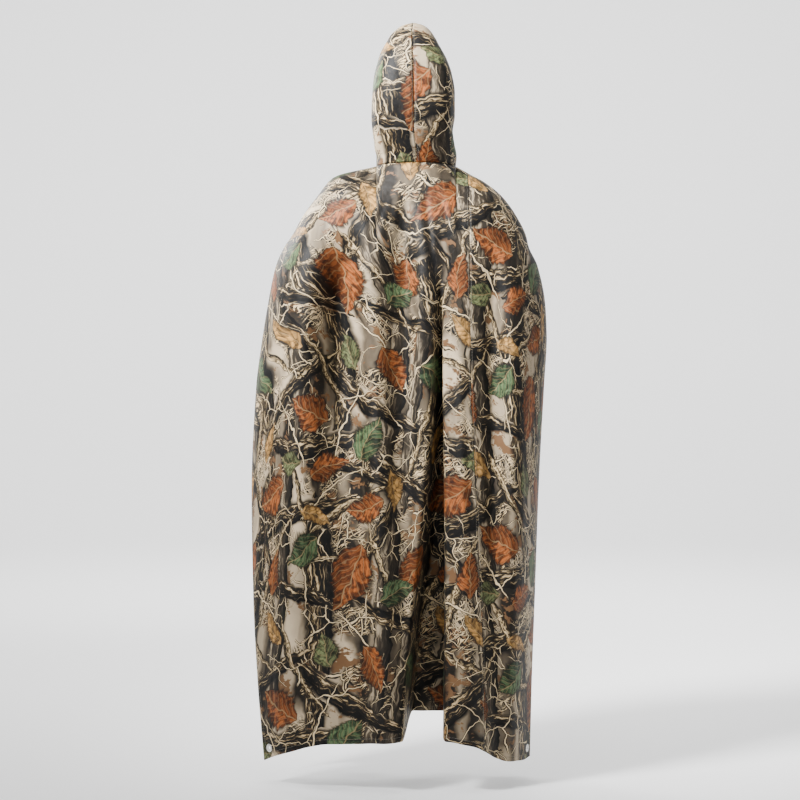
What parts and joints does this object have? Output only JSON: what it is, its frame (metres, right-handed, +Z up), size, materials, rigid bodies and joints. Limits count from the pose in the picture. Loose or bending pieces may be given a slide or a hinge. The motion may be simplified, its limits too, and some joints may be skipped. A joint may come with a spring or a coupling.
{
  "type": "rain poncho",
  "caption": "Long hooded rain poncho in a woodland camouflage print, hanging open and empty in its worn form.",
  "frame": {"origin": "middle of the neck opening, at the height where the cloth rests on the wearer's shoulders", "axes": "+Z up; the front of the garment faces -Y; the wearer's left side is +X"},
  "size_m": [0.7219, 0.3903, 1.7955],
  "materials": {
    "printed_cloth": "matt coated woven cloth with a woodland print",
    "eyelet_metal": "pressed metal"
  },
  "bodies": {
    "root": {"back_main": "printed_cloth", "back_strip": "printed_cloth", "back_strip_waist": "printed_cloth", "back_strip_skirt": "printed_cloth", "front_main": "printed_cloth", "front_main_chest": "printed_cloth", "front_main_waist": "printed_cloth", "front_main_skirt": "printed_cloth", "front_strip": "printed_cloth", "front_strip_chest": "printed_cloth", "front_strip_waist": "printed_cloth", "front_strip_skirt": "printed_cloth", "hood_left": "printed_cloth", "hood_right": "printed_cloth", "eyelet_back_left": "eyelet_metal", "eyelet_back_right": "eyelet_metal", "eyelet_front_left": "eyelet_metal", "eyelet_front_right": "eyelet_metal"}
  },
  "joints": []
}
